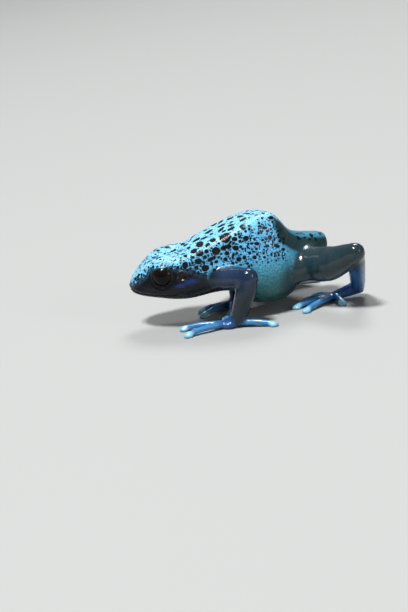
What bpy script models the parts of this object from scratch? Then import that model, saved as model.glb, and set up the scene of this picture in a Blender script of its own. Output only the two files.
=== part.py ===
"""Blue poison dart frog, a still life-size model standing with a humped back.

The whole animal is shaped as one closed body in millimetres, parted with thin cuts into
named nodes, then brought to metres. Snout towards -X, left side towards -Y, floor at z = 0.
"""

import math

import bmesh
import bpy
import numpy as np
from mathutils import Matrix, Vector

# Driving sizes, in millimetres unless a name says otherwise
MM = 0.001
GAP = 0.3
PLACE = (0.2, -1.85)
BODY_LENGTH = 42.3
SNOUT_AT = (-23.65, 2.5)
EYE_RADIUS = 2.5
EYE_ALONG = 7.7
EYE_OUT = 3.65
EYE_HIGH = 11.45
LID = 0.7
BROW_OUT = 2.9
BROW_HIGH = 15.1
BROW_RADII = (3.1, 1.9, 1.7)
EYE_SUNK = 1.0
EYE_TURN_FORWARD = math.radians(8)
EYE_TURN_UP = math.radians(6)
MOUTH_END = 10.6
EAR_ALONG = 11.4
EAR_OUT = 5.8
EAR_HIGH = 11.6
EAR_RING_RADIUS = 1.05
EAR_RING_THICK = 0.36
NOSTRIL_ALONG = 2.2
NOSTRIL_OUT = 3.1
NOSTRIL_HIGH = 10.3
NOSTRIL_RADIUS = 0.36
LIP_INSET = 0.42
LIP_THICK = 0.5
VOXEL = 0.28
TRIANGLES_WANTED = 5600
SIDES = {"left": 1, "right": -1}

# Where the thin plates part the body, and how far they reach past its surface
NECK_AT = 13.4
NECK_PLATE = 10
SHOULDER_CUT = {"left": 0.65, "right": 0.5}
SHOULDER_PLATE = 3.7
HIP_CUT = {"left": 0.26, "right": 0.36}
HIP_PLATE = 4.9
ELBOW_PLATE = 2.1
WRIST_PLATE = 2.85
KNEE_PLATE = 4.3
ANKLE_PLATE = 2.4
INSTEP_PLATE = 1.8
PLATE_EDGE = 0.5
DIGIT_CUT_REACH = 4.2
DIGIT_PLATE = 1.2
SHORT_DIGIT_PLATE = 1.4
SHORT_REACH = 3

# Lines of the body along its length: (distance behind the snout tip, value)
HEADING = ((0, -17), (10, -17), (15, -9), (20, -1), (25, 6), (30, 14), (BODY_LENGTH, 15))
TWIST = ((0, 7), (16, 7.5), (22, 3.5), (29, -2), (BODY_LENGTH, -2))
BACK = ((0, 9.1), (0.4, 10.1), (1.2, 11.1), (3.5, 13.1), (5.2, 14.2), (7.6, 14.7), (11.5, 15.2),
        (15, 16.6), (20, 18.5), (24.7, 20.0), (28.6, 20.5), (30.4, 19.4), (33, 16.2),
        (36, 14.6), (39, 13.9), (41.8, 13.2), (BODY_LENGTH, 12.0))
RIDGE_OUT = ((0, 0.4), (0.4, 1.4), (1.2, 2.3), (3.5, 3.2), (5, 3.8), (7.6, 4.3), (11.5, 4.9),
             (15, 5.0), (20, 4.9), (24.7, 4.5), (28.5, 3.9), (32.6, 3.1), (36, 2.9), (41.2, 2.4),
             (BODY_LENGTH, 0.8))
RIDGE_DROP = ((0, 0.1), (1.2, 0.25), (5, 0.2), (7.6, 0.1), (12, 0.45), (24, 0.6), (33, 0.5),
              (BODY_LENGTH, 0.3))
FLANK_OUT = ((0, 0.5), (0.4, 1.7), (1.2, 2.9), (3, 4.3), (6, 5.5), (9.5, 6.3), (12, 6.1),
             (14.5, 5.5), (17, 5.6), (21, 6.6), (26, 7.3), (30, 6.9), (34, 5.3), (38, 3.9),
             (41.6, 2.8), (BODY_LENGTH, 1.0))
FLANK_HIGH = ((0, 8.6), (3, 8.9), (9, 9.2), (14, 9.6), (20, 9.6), (28, 9.0), (34, 9.8),
              (38, 10.8), (BODY_LENGTH, 11.4))
BELLY = ((0, 8.1), (0.4, 7.6), (1.7, 7.05), (5.8, 6.35), (12.7, 5.55), (15, 5.75), (18, 6.15),
         (20, 6.0), (21.6, 4.7), (23.4, 2.9), (25.8, 1.9), (29, 1.5), (33, 2.4), (37, 5.4),
         (41.2, 8.6), (BODY_LENGTH, 10.0))
MOUTH_HIGH = ((0, 8.35), (2, 8.2), (6, 8.0), (9, 8.0), (10.6, 8.2))

# Joints of the limbs, in the body's frame: x back, y to the right side, z up
ARM = {
    "left": {
        "shoulder": (-8.6, -5.2, 9.3),
        "elbow": (-1.9, -11.6, 10.0),
        "wrist": (-4.8, -10.8, 1.75),
        "palm": (-6.6, -10.2, 0.95),
        "tips": ((-6.2, -5.4), (-15.4, -7.4), (-15.4, -12.1), (1.4, -14.6)),
    },
    "right": {
        "shoulder": (-7.4, 2.2, 9.3),
        "elbow": (-0.4, 10.4, 8.4),
        "wrist": (-1.4, 4.7, 1.65),
        "palm": (-2.7, 3.5, 0.95),
        "tips": ((-4.4, -2.4), (-9.8, -0.4), (-9.4, 2.9), (3.4, 7.4)),
    },
}
LEG = {
    "left": {
        "hip": (11.6, -3.2, 8.6),
        "knee": (19.4, -14.6, 12.15),
        "heel": (22.1, -4.6, 2.2),
        "sole": (16.9, -4.3, 0.95),
        "tips": ((13.8, -0.6), (11.2, -2.6), (8.5, -5.8), (9.5, -9.5), (17.4, -8.4)),
    },
    "right": {
        "hip": (11.6, 3.6, 8.6),
        "knee": (4.6, 15.2, 8.8),
        "heel": (17.2, 11.6, 1.9),
        "sole": (11.6, 13.4, 0.95),
        "tips": ((8.9, 8.9), (5.8, 10.6), (2.8, 13.4), (2.6, 18.0), (8.4, 19.4)),
    },
}
UPPER_ARM_RADII = (2.5, 2.25, 2.0)
FOREARM_RADII = (2.05, 2.1, 1.65)
THIGH_RADII = (3.7, 3.55, 2.1)
THIGH_SAG = 1.15
SHANK_RADII = (1.95, 1.8, 1.5)
TARSUS_RADII = (1.5, 1.2, 1.0)
DIGIT_RADIUS = 0.62
DISC_RADIUS = 0.95
DISC_THICK = 0.55
DISC_HIGH = 0.38
PALM_RADII = (1.9, 1.9, 0.95)
SOLE_RADII = (1.7, 1.25, 0.95)
PAD_SUNK = 0.22


def profile(knots, at):
    """Smooth curve through the knots that never overshoots them."""
    x = np.array([k[0] for k in knots], float)
    y = np.array([k[1] for k in knots], float)
    step = np.diff(x)
    slope = np.diff(y) / step
    tangent = np.zeros(len(x))
    same = slope[1:] * slope[:-1] > 0
    harmonic = 2 * slope[1:] * slope[:-1] / np.where(same, slope[1:] + slope[:-1], 1)
    tangent[1:-1] = np.where(same, harmonic, 0)
    tangent[0] = slope[0]
    tangent[-1] = slope[-1]
    at = np.clip(at, x[0], x[-1])
    i = np.clip(np.searchsorted(x, at) - 1, 0, len(x) - 2)
    t = (at - x[i]) / step[i]
    start = (2 * t**3 - 3 * t**2 + 1) * y[i] + (t**3 - 2 * t**2 + t) * step[i] * tangent[i]
    end = (3 * t**2 - 2 * t**3) * y[i + 1] + (t**3 - t**2) * step[i] * tangent[i + 1]
    return start + end


def midline():
    """Points of the curved midline seen from above, every tenth of a millimetre."""
    along = np.arange(0, BODY_LENGTH + 0.05, 0.1)
    angle = np.radians(profile(HEADING, along))
    x = SNOUT_AT[0] + np.concatenate([[0], np.cumsum(np.cos(angle[1:]) * 0.1)])
    y = SNOUT_AT[1] + np.concatenate([[0], np.cumsum(np.sin(angle[1:]) * 0.1)])
    return along, x, y


MIDLINE = midline()


def body_point(along, out, high):
    """A point of the body; out is positive towards the left side."""
    angle = math.radians(float(profile(HEADING, along)))
    x = np.interp(along, MIDLINE[0], MIDLINE[1]) + out * math.sin(angle)
    y = np.interp(along, MIDLINE[0], MIDLINE[2]) - out * math.cos(angle)
    lean = out * math.tan(math.radians(float(profile(TWIST, along))))
    return Vector((float(x), float(y), float(high - lean)))


def half_section(along):
    """Control points of the left half of a cross-section, from back to belly."""
    back = float(profile(BACK, along))
    ridge = float(profile(RIDGE_OUT, along))
    drop = float(profile(RIDGE_DROP, along))
    out = float(profile(FLANK_OUT, along))
    level = float(profile(FLANK_HIGH, along))
    belly = float(profile(BELLY, along))
    level = min(max(level, belly + 0.2), back - 0.2)
    return (
        (0, back),
        (0.55 * ridge, back - 0.15 * drop),
        (ridge, back - drop),
        (ridge + 0.62 * (out - ridge), level + 0.55 * (back - drop - level)),
        (out, level),
        (0.87 * out, level - 0.55 * (level - belly)),
        (0.5 * out, belly + 0.1 * (level - belly)),
        (0, belly),
    )


def ring(along, count=48):
    """Evenly spread points of the closed cross-section, smooth through its controls."""
    half = half_section(along)
    loop = list(half) + [(-y, z) for y, z in reversed(half[1:-1])]
    p = np.array(loop)
    n = len(p)
    steps = 8
    curve = []
    for i in range(n):
        a, b, c, d = p[i - 1], p[i], p[(i + 1) % n], p[(i + 2) % n]
        for k in range(steps):
            t = k / steps
            curve.append(0.5 * (2 * b + (c - a) * t + (2 * a - 5 * b + 4 * c - d) * t**2
                                + (3 * b - a - 3 * c + d) * t**3))
    curve = np.array(curve)
    closed = np.vstack([curve, curve[:1]])
    length = np.concatenate([[0], np.cumsum(np.linalg.norm(np.diff(closed, axis=0), axis=1))])
    at = np.linspace(0, length[-1], count, endpoint=False)
    out = np.interp(at, length, closed[:, 0])
    high = np.interp(at, length, closed[:, 1])
    return [body_point(along, o, h) for o, h in zip(out, high)]


def add_loft(bm, rings):
    """Skin of quads over the rings, with a point at each end."""
    rows = [[bm.verts.new(p) for p in points] for points in rings]
    for row, after in zip(rows, rows[1:]):
        for i in range(len(row)):
            j = (i + 1) % len(row)
            bm.faces.new((row[i], row[j], after[j], after[i]))
    for row in (rows[0], rows[-1]):
        tip = bm.verts.new(sum((v.co for v in row), Vector()) / len(row))
        for i in range(len(row)):
            bm.faces.new((row[i], row[(i + 1) % len(row)], tip))


def add_tube(bm, points, radii, sides=14):
    """Round tube along a smooth curve through the points, with domed ends."""
    points = [Vector(p) for p in points]
    first = points[0] * 2 - points[1]
    last = points[-1] * 2 - points[-2]
    chain = [first] + points + [last]
    path = []
    widths = []
    for i in range(1, len(chain) - 2):
        a, b, c, d = chain[i - 1:i + 3]
        for k in range(6):
            t = k / 6
            path.append(0.5 * (2 * b + (c - a) * t + (2 * a - 5 * b + 4 * c - d) * t**2
                               + (3 * b - a - 3 * c + d) * t**3))
            widths.append(radii[i - 1] * (1 - t) + radii[i] * t)
    path.append(points[-1])
    widths.append(radii[-1])
    start = (path[0] - path[1]).normalized()
    end = (path[-1] - path[-2]).normalized()
    domes = (0.35, 0.65, 0.88, 0.98)
    head = [(path[0] + start * widths[0] * d, widths[0] * math.sqrt(1 - d * d))
            for d in reversed(domes)]
    tail = [(path[-1] + end * widths[-1] * d, widths[-1] * math.sqrt(1 - d * d)) for d in domes]
    chain = head + list(zip(path, widths)) + tail
    up = Vector((0, 0, 1)) if abs(start.z) < 0.9 else Vector((1, 0, 0))
    rings = []
    for i, (centre, radius) in enumerate(chain):
        ahead = chain[min(i + 1, len(chain) - 1)][0] - chain[max(i - 1, 0)][0]
        ahead.normalize()
        side = ahead.cross(up).normalized()
        up = side.cross(ahead).normalized()
        turns = [math.tau * k / sides for k in range(sides)]
        rings.append([centre + radius * (math.cos(a) * side + math.sin(a) * up) for a in turns])
    add_loft(bm, rings)


def add_ball(bm, centre, radii, turn=None):
    """Ellipsoid at the centre, turned by a rotation matrix."""
    place = Matrix.Translation(Vector(centre)) @ (turn or Matrix.Identity(4))
    place = place @ Matrix.Diagonal((*radii, 1))
    bmesh.ops.create_uvsphere(bm, u_segments=24, v_segments=14, radius=1, matrix=place)


def turned_to(direction):
    """Rotation that brings the Z axis to the direction."""
    return Vector(direction).to_track_quat("Z", "Y").to_matrix().to_4x4()


def between(a, b, share):
    return Vector(a).lerp(Vector(b), share)


def eye_axis(side):
    """Direction in which an eye looks: outwards, a little forwards and up."""
    out = body_point(EYE_ALONG, side * 2, EYE_HIGH) - body_point(EYE_ALONG, side, EYE_HIGH)
    ahead = body_point(EYE_ALONG - 1, 0, EYE_HIGH) - body_point(EYE_ALONG, 0, EYE_HIGH)
    flat = out.normalized() * math.cos(EYE_TURN_FORWARD)
    flat += ahead.normalized() * math.sin(EYE_TURN_FORWARD)
    lifted = flat.normalized() * math.cos(EYE_TURN_UP)
    return (lifted + Vector((0, 0, math.sin(EYE_TURN_UP)))).normalized()


def eye_centre(side):
    return body_point(EYE_ALONG, side * EYE_OUT, EYE_HIGH)


def add_body(bm):
    """Head and trunk in one loft, from the snout tip to the vent."""
    snout_stations = [0, 0.15, 0.4, 0.8, 1.3]
    vent_stations = [BODY_LENGTH - gap for gap in (0.5, 0.25, 0)]
    stations = snout_stations + list(np.arange(2, BODY_LENGTH - 0.9, 0.65)) + vent_stations
    add_loft(bm, [ring(s) for s in stations])


def add_face(bm):
    """Orbits, brows, lips and the rims of the ear drums."""
    for side in SIDES.values():
        axis = eye_axis(side)
        centre = eye_centre(side)
        add_ball(bm, centre - axis * EYE_SUNK, [EYE_RADIUS + LID] * 3)
        brow = body_point(EYE_ALONG + 0.3, side * BROW_OUT, BROW_HIGH - BROW_RADII[2])
        turn = Matrix.Rotation(math.radians(float(profile(HEADING, EYE_ALONG))), 4, "Z")
        add_ball(bm, brow, BROW_RADII, turn)
        lip = [body_point(u, side * lip_out(u), float(profile(MOUTH_HIGH, u)) + LIP_THICK)
               for u in (0.5, 2, 4, 6, 8, 10, 11.2)]
        add_tube(bm, lip, [LIP_THICK] * len(lip), sides=10)
        drum = body_point(EAR_ALONG, side * EAR_OUT, EAR_HIGH)
        inner = body_point(EAR_ALONG, side * (EAR_OUT - 1), EAR_HIGH - 0.25)
        add_ring(bm, drum, drum - inner, EAR_RING_RADIUS, EAR_RING_THICK)


def lip_out(along):
    """How far out the lip lies beside the midline."""
    return float(profile(FLANK_OUT, along)) - LIP_INSET


def add_ring(bm, centre, axis, radius, thick):
    """Closed round ring about an axis."""
    turn = Matrix.Translation(centre) @ turned_to(axis)
    rows = []
    for k in range(20):
        a = math.tau * k / 20
        hub = Vector((math.cos(a), math.sin(a), 0))
        row = []
        for m in range(8):
            b = math.tau * m / 8
            spot = hub * (radius + thick * math.cos(b)) + Vector((0, 0, thick * math.sin(b)))
            row.append(bm.verts.new(turn @ spot))
        rows.append(row)
    for k, row in enumerate(rows):
        after = rows[(k + 1) % len(rows)]
        for m in range(8):
            bm.faces.new((row[m], after[m], after[(m + 1) % 8], row[(m + 1) % 8]))


def digit_points(root, tip, lift=0.25):
    """Root, arched middle and tip of a digit that lies on the floor."""
    root = Vector(root)
    tip = Vector((tip[0], tip[1], DIGIT_RADIUS))
    middle = between(root, tip, 0.55) + Vector((0, 0, lift))
    return [root, middle, tip]


def add_digit(bm, root, tip, radius=DIGIT_RADIUS):
    """Finger or toe with its flat disc."""
    points = digit_points(root, tip)
    add_tube(bm, points, (radius * 1.12, radius, radius * 0.85), sides=12)
    ahead = points[2] - points[1]
    turn = Matrix.Rotation(math.atan2(ahead.y, ahead.x), 4, "Z")
    disc = Vector((tip[0], tip[1], DISC_HIGH))
    add_ball(bm, disc, (DISC_RADIUS * 1.1, DISC_RADIUS, DISC_THICK), turn)


def add_arm(bm, joints):
    shoulder, elbow, wrist, palm = (joints[k] for k in ("shoulder", "elbow", "wrist", "palm"))
    add_tube(bm, (shoulder, between(shoulder, elbow, 0.5), elbow), UPPER_ARM_RADII)
    bulge = between(elbow, wrist, 0.35) + Vector((0.15, -0.1, 0))
    add_tube(bm, (elbow, bulge, wrist), FOREARM_RADII)
    add_tube(bm, (wrist, palm), (FOREARM_RADII[2], 1.0))
    add_ball(bm, Vector(palm) - Vector((0, 0, PAD_SUNK)), PALM_RADII)
    for tip in joints["tips"]:
        add_digit(bm, between(palm, (*tip, 0.9), 0.14), tip)


def add_leg(bm, joints):
    hip, knee, heel, sole = (joints[k] for k in ("hip", "knee", "heel", "sole"))
    add_tube(bm, (hip, between(hip, knee, 0.5) - Vector((0, 0, THIGH_SAG)), knee), THIGH_RADII)
    add_tube(bm, (knee, between(knee, heel, 0.45), heel), SHANK_RADII)
    add_tube(bm, (heel, between(heel, sole, 0.5), sole), TARSUS_RADII)
    add_ball(bm, Vector(sole) - Vector((0, 0, PAD_SUNK)), SOLE_RADII)
    for tip in joints["tips"]:
        add_digit(bm, between(sole, (*tip, 0.9), 0.12), tip)


def mesh_object(name, bm, collection):
    mesh = bpy.data.meshes.new(name)
    bmesh.ops.recalc_face_normals(bm, faces=bm.faces)
    bm.to_mesh(mesh)
    bm.free()
    obj = bpy.data.objects.new(name, mesh)
    collection.objects.link(obj)
    return obj


def applied(obj):
    """The object with its modifiers made real."""
    view = bpy.context.evaluated_depsgraph_get()
    mesh = bpy.data.meshes.new_from_object(obj.evaluated_get(view))
    obj.modifiers.clear()
    obj.data = mesh
    return obj


def whole_frog(collection):
    """All the flesh fused into one even, smooth and lightly thinned mesh."""
    bm = bmesh.new()
    add_body(bm)
    add_face(bm)
    for side in SIDES:
        add_arm(bm, ARM[side])
        add_leg(bm, LEG[side])
    frog = mesh_object("flesh", bm, collection)
    remesh = frog.modifiers.new("fuse", "REMESH")
    remesh.mode = "VOXEL"
    remesh.voxel_size = VOXEL
    smooth = frog.modifiers.new("soften", "SMOOTH")
    smooth.factor = 0.5
    smooth.iterations = 3
    applied(frog)
    thin = frog.modifiers.new("thin", "DECIMATE")
    thin.ratio = TRIANGLES_WANTED / (2 * len(frog.data.polygons))
    thin.use_collapse_triangulate = True
    return applied(frog)


def disc_cutter(name, centre, axis, radius, collection, thick=GAP):
    """Thin round plate across a limb."""
    bm = bmesh.new()
    place = Matrix.Translation(Vector(centre)) @ turned_to(axis)
    bmesh.ops.create_cone(bm, cap_ends=True, segments=14, radius1=radius, radius2=radius,
                          depth=thick, matrix=place)
    return guide(mesh_object(name, bm, collection))


def guide(obj):
    obj.hide_render = True
    obj.display_type = "WIRE"
    return obj


def mouth_cutter(collection):
    """Thin bent sheet along the line of the mouth, down behind the jaw to the throat."""
    line = [(-1.5, 8.35)] + [(u, float(profile(MOUTH_HIGH, u))) for u in (0, 2, 4, 6, 8, 9.6)]
    line += [(MOUTH_END, 8.1), (11.1, 7.5), (11.4, 6.4), (11.5, 3.5)]
    outs = np.linspace(-9, 9, 13)
    start = body_point(0, 0, 0) - body_point(1, 0, 0)
    bm = bmesh.new()
    rows = []
    for i, (u, z) in enumerate(line):
        before = Vector(line[max(i - 1, 0)])
        after = Vector(line[min(i + 1, len(line) - 1)])
        across = Vector((before.y - after.y, after.x - before.x)).normalized() * GAP / 2
        row = []
        for sign in (1, -1):
            level = [body_point(max(u + sign * across.x, 0), o, z + sign * across.y) for o in outs]
            if u < 0:
                level = [p + start * -u for p in level]
            row.append([bm.verts.new(p) for p in level])
        rows.append(row[0] + row[1][::-1])
    count = len(rows[0])
    for row, after in zip(rows, rows[1:]):
        for i in range(count):
            j = (i + 1) % count
            bm.faces.new((row[i], row[j], after[j], after[i]))
    bm.faces.new(rows[0])
    bm.faces.new(rows[-1])
    return guide(mesh_object("mouth_cut", bm, collection))


def add_mitre(name, before, at, after, radius, collection):
    """Thin plate that halves the bend of a limb, wider where the bend is sharper."""
    arriving = (Vector(at) - Vector(before)).normalized()
    leaving = (Vector(after) - Vector(at)).normalized()
    across = (arriving + leaving).length / 2
    disc_cutter(name, at, arriving + leaving, PLATE_EDGE + radius / max(across, 0.3), collection)


def limb_cutters(collection):
    """Thin plates at the joints of all four limbs and at the roots of the digits."""
    for side in SIDES:
        sign = SIDES[side]
        arm, leg = ARM[side], LEG[side]
        shoulder = between(arm["shoulder"], arm["elbow"], SHOULDER_CUT[side])
        disc_cutter(f"cut_shoulder_{side}", shoulder, (0, -sign, 0), SHOULDER_PLATE, collection)
        wrist = between(arm["elbow"], arm["wrist"], 0.88)
        instep = between(leg["heel"], leg["sole"], 0.7)
        bends = (
            ("elbow", arm["shoulder"], arm["elbow"], arm["wrist"], ELBOW_PLATE),
            ("wrist", arm["elbow"], wrist, arm["wrist"], WRIST_PLATE),
            ("knee", leg["hip"], leg["knee"], leg["heel"], KNEE_PLATE),
            ("ankle", leg["knee"], leg["heel"], leg["sole"], ANKLE_PLATE),
            ("instep", leg["heel"], instep, leg["sole"], INSTEP_PLATE),
        )
        for name, before, at, after, radius in bends:
            add_mitre(f"cut_{name}_{side}", before, at, after, radius, collection)
        thigh = Vector(leg["knee"]) - Vector(leg["hip"])
        hip = between(leg["hip"], leg["knee"], HIP_CUT[side]) - Vector((0, 0, THIGH_SAG / 2))
        disc_cutter(f"cut_hip_{side}", hip, thigh, HIP_PLATE, collection)
        pads = (("finger", arm["palm"], arm["tips"]), ("toe", leg["sole"], leg["tips"]))
        for group, centre, tips in pads:
            for k, tip in enumerate(tips):
                way = Vector((tip[0] - centre[0], tip[1] - centre[1], 0))
                reach = min(DIGIT_CUT_REACH, 0.64 * way.length)
                spot = Vector(centre) + way.normalized() * reach
                radius = SHORT_DIGIT_PLATE if reach < SHORT_REACH else DIGIT_PLATE
                disc_cutter(f"cut_{group}_{k}_{side}", spot, way, radius, collection)


def head_cutters(collection):
    """Neck plate, eye pockets and nostrils."""
    ahead = body_point(NECK_AT + 1, 0, 10) - body_point(NECK_AT - 1, 0, 10)
    disc_cutter("cut_neck", body_point(NECK_AT, 0, 11.5), ahead, NECK_PLATE, collection)
    for side, sign in SIDES.items():
        bm = bmesh.new()
        place = Matrix.Translation(eye_centre(sign)) @ turned_to(eye_axis(sign))
        bmesh.ops.create_uvsphere(bm, u_segments=20, v_segments=12, radius=EYE_RADIUS + GAP,
                                  matrix=place)
        guide(mesh_object(f"cut_orbit_{side}", bm, collection))
        bm = bmesh.new()
        nostril = body_point(NOSTRIL_ALONG, sign * NOSTRIL_OUT, NOSTRIL_HIGH)
        bmesh.ops.create_icosphere(bm, subdivisions=2, radius=NOSTRIL_RADIUS,
                                   matrix=Matrix.Translation(nostril))
        guide(mesh_object(f"cut_nostril_{side}", bm, collection))


def floor_cutter(collection):
    """Block whose top is the floor, which leaves the small flats under the feet."""
    bm = bmesh.new()
    low = Matrix.Translation((0, 0, -5)) @ Matrix.Diagonal((90, 90, 10, 1))
    bmesh.ops.create_cube(bm, size=1, matrix=low)
    return guide(mesh_object("cut_floor", bm, collection))


def anchors():
    """A point inside each node, by which a cut piece gets its name."""
    marks = {"head": body_point(6, 0, 11), "lower_jaw": body_point(6, 0, 6.6)}
    marks["torso"] = body_point(26, 0, 11)
    for side in SIDES:
        arm, leg = ARM[side], LEG[side]
        marks[f"upper_arm_{side}"] = between(arm["shoulder"], arm["elbow"], 0.85)
        marks[f"forearm_{side}"] = between(arm["elbow"], arm["wrist"], 0.5)
        marks[f"hand_{side}"] = Vector(arm["palm"])
        marks[f"thigh_{side}"] = between(leg["hip"], leg["knee"], 0.7)
        marks[f"shank_{side}"] = between(leg["knee"], leg["heel"], 0.5)
        marks[f"tarsus_{side}"] = between(leg["heel"], leg["sole"], 0.45)
        marks[f"foot_{side}"] = Vector(leg["sole"])
        for k, tip in enumerate(arm["tips"], 1):
            marks[f"finger_{k}_{side}"] = Vector((*tip, 0.6))
        for k, tip in enumerate(leg["tips"], 1):
            marks[f"toe_{k}_{side}"] = Vector((*tip, 0.6))
    return marks


def closed_pieces(mesh):
    """Loose parts of the cut body, the largest first."""
    bm = bmesh.new()
    bm.from_mesh(mesh)
    bm.verts.ensure_lookup_table()
    label = [-1] * len(bm.verts)
    pieces = []
    for seed in bm.verts:
        if label[seed.index] >= 0:
            continue
        stack = [seed]
        label[seed.index] = len(pieces)
        members = []
        while stack:
            vert = stack.pop()
            members.append(vert.index)
            for edge in vert.link_edges:
                other = edge.other_vert(vert)
                if label[other.index] < 0:
                    label[other.index] = len(pieces)
                    stack.append(other)
        pieces.append(members)
    result = []
    for members in pieces:
        keep = set(members)
        part = bm.copy()
        part.verts.ensure_lookup_table()
        bmesh.ops.delete(part, geom=[v for v in part.verts if v.index not in keep], context="VERTS")
        result.append(part)
    bm.free()
    return sorted(result, key=lambda part: -abs(part.calc_volume()))


def to_metres(bm):
    """Bring a piece to real size, with the middle of the whole frog's footprint at the origin."""
    bmesh.ops.translate(bm, vec=(*PLACE, 0), verts=bm.verts)
    bmesh.ops.scale(bm, vec=(MM, MM, MM), verts=bm.verts)


def distance_to(piece, point):
    return min((v.co - point).length for v in piece.verts)


def part_nodes(frog, cutters, collection):
    """Cut the whole body and give each closed piece its name."""
    cut = frog.modifiers.new("part", "BOOLEAN")
    cut.operation = "DIFFERENCE"
    cut.solver = "MANIFOLD"
    cut.operand_type = "COLLECTION"
    cut.collection = cutters
    applied(frog)
    pieces = closed_pieces(frog.data)
    nodes = {}
    for name, point in anchors().items():
        piece = min(pieces, key=lambda part: distance_to(part, point))
        if piece in nodes.values():
            raise RuntimeError(f"{name} is still joined to another node")
        nodes[name] = piece
    bpy.data.objects.remove(frog)
    for name, piece in nodes.items():
        bmesh.ops.triangulate(piece, faces=piece.faces)
        bmesh.ops.dissolve_degenerate(piece, edges=piece.edges, dist=0.0005)
        to_metres(piece)
        obj = mesh_object(name, piece, collection)
        obj.data.shade_smooth()
        obj.data.set_sharp_from_angle(angle=math.radians(50))


def add_eyes(collection):
    """The two eyeballs in their pockets."""
    for side, sign in SIDES.items():
        bm = bmesh.new()
        place = Matrix.Translation(eye_centre(sign)) @ turned_to(eye_axis(sign))
        bmesh.ops.create_uvsphere(bm, u_segments=20, v_segments=12, radius=EYE_RADIUS, matrix=place)
        to_metres(bm)
        obj = mesh_object(f"eye_{side}", bm, collection)
        obj.data.shade_smooth()


def finish(name, colour, roughness):
    """One plain finish."""
    material = bpy.data.materials.new(name)
    material.use_nodes = True
    shader = material.node_tree.nodes["Principled BSDF"]
    shader.inputs["Base Color"].default_value = (*colour, 1)
    shader.inputs["Roughness"].default_value = roughness
    shader.inputs["Metallic"].default_value = 0
    return material


def paint(collection):
    """Each node gets a finish of its own, by the part of the body that it belongs to."""
    looks = (
        (("eye",), (0.004, 0.004, 0.005), 0.08),
        (("head", "torso"), (0.12, 0.42, 0.62), 0.35),
        (("lower_jaw",), (0.01, 0.03, 0.09), 0.4),
        (("upper_arm", "forearm", "thigh"), (0.02, 0.07, 0.16), 0.35),
        (("shank", "tarsus", "hand", "foot"), (0.03, 0.12, 0.4), 0.35),
        (("finger", "toe"), (0.2, 0.5, 0.8), 0.35),
    )
    for obj in collection.objects:
        for names, colour, roughness in looks:
            if obj.name.startswith(names):
                obj.data.materials.append(finish(f"{obj.name}_skin", colour, roughness))


def main():
    for obj in list(bpy.data.objects):
        bpy.data.objects.remove(obj)
    scene = bpy.context.scene.collection
    parts = bpy.data.collections.new("blue_poison_dart_frog")
    cutters = bpy.data.collections.new("cutters")
    scene.children.link(parts)
    scene.children.link(cutters)
    mouth_cutter(cutters)
    limb_cutters(cutters)
    head_cutters(cutters)
    floor_cutter(cutters)
    frog = whole_frog(parts)
    part_nodes(frog, cutters, parts)
    add_eyes(parts)
    paint(parts)


main()
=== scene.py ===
import math

import bmesh
import bpy
import numpy as np
from mathutils import Matrix, Vector
from mathutils.bvhtree import BVHTree


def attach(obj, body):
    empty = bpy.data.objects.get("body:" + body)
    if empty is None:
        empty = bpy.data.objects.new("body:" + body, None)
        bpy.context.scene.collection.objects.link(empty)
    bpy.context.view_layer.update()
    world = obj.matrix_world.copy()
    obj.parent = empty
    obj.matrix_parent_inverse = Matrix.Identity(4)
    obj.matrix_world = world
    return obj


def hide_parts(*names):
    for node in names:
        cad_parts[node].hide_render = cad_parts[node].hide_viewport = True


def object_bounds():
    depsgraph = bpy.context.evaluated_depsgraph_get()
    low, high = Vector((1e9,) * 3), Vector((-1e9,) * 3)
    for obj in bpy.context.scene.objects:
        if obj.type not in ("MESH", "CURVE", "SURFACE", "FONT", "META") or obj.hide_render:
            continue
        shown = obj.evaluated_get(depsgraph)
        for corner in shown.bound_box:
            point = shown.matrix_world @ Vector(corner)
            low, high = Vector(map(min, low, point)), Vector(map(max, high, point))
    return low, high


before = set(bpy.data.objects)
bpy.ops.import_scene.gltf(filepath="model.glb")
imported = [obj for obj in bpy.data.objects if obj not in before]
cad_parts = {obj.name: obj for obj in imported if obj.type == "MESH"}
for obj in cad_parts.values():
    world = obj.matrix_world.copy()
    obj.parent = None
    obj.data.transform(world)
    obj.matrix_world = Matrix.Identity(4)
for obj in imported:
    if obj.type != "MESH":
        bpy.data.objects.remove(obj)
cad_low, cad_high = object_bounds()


# Camera
# The animal is seen from its left, a little in front of the middle and a hand's width above.
# The view leans by the same angle as the ground that it stood on.
MM = 0.001
PHOTO_SIZE = (408, 612)
CAMERA_AT = Vector((-67.26, -330.77, 98.07))
CAMERA_TURN, CAMERA_DOWN, CAMERA_LEAN = (math.radians(a) for a in (-10, 16, 7))
LENS, SENSOR = 100.0, 36.0
PIXEL = SENSOR / LENS / PHOTO_SIZE[1]  # width of a pixel at a distance of 1

level = Vector((math.cos(CAMERA_TURN), math.sin(CAMERA_TURN), 0))
ahead = Vector((-math.sin(CAMERA_TURN) * math.cos(CAMERA_DOWN),
                math.cos(CAMERA_TURN) * math.cos(CAMERA_DOWN), -math.sin(CAMERA_DOWN)))
upright = level.cross(ahead)
camera_right = level * math.cos(CAMERA_LEAN) - upright * math.sin(CAMERA_LEAN)
camera_up = level * math.sin(CAMERA_LEAN) + upright * math.cos(CAMERA_LEAN)


def new_object(name, data):
    """An object at the origin of the scene."""
    made = bpy.data.objects.new(name, data)
    bpy.context.scene.collection.objects.link(made)
    return made


camera = new_object("camera", bpy.data.cameras.new("camera"))
camera.data.lens = LENS
camera.data.sensor_fit = "VERTICAL"
camera.data.sensor_height = SENSOR
camera.data.clip_start = 0.01
camera.data.clip_end = 20
turn = Matrix((camera_right, camera_up, -ahead)).transposed()
camera.matrix_world = Matrix.Translation(CAMERA_AT * MM) @ turn.to_4x4()
bpy.context.scene.camera = camera


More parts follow.
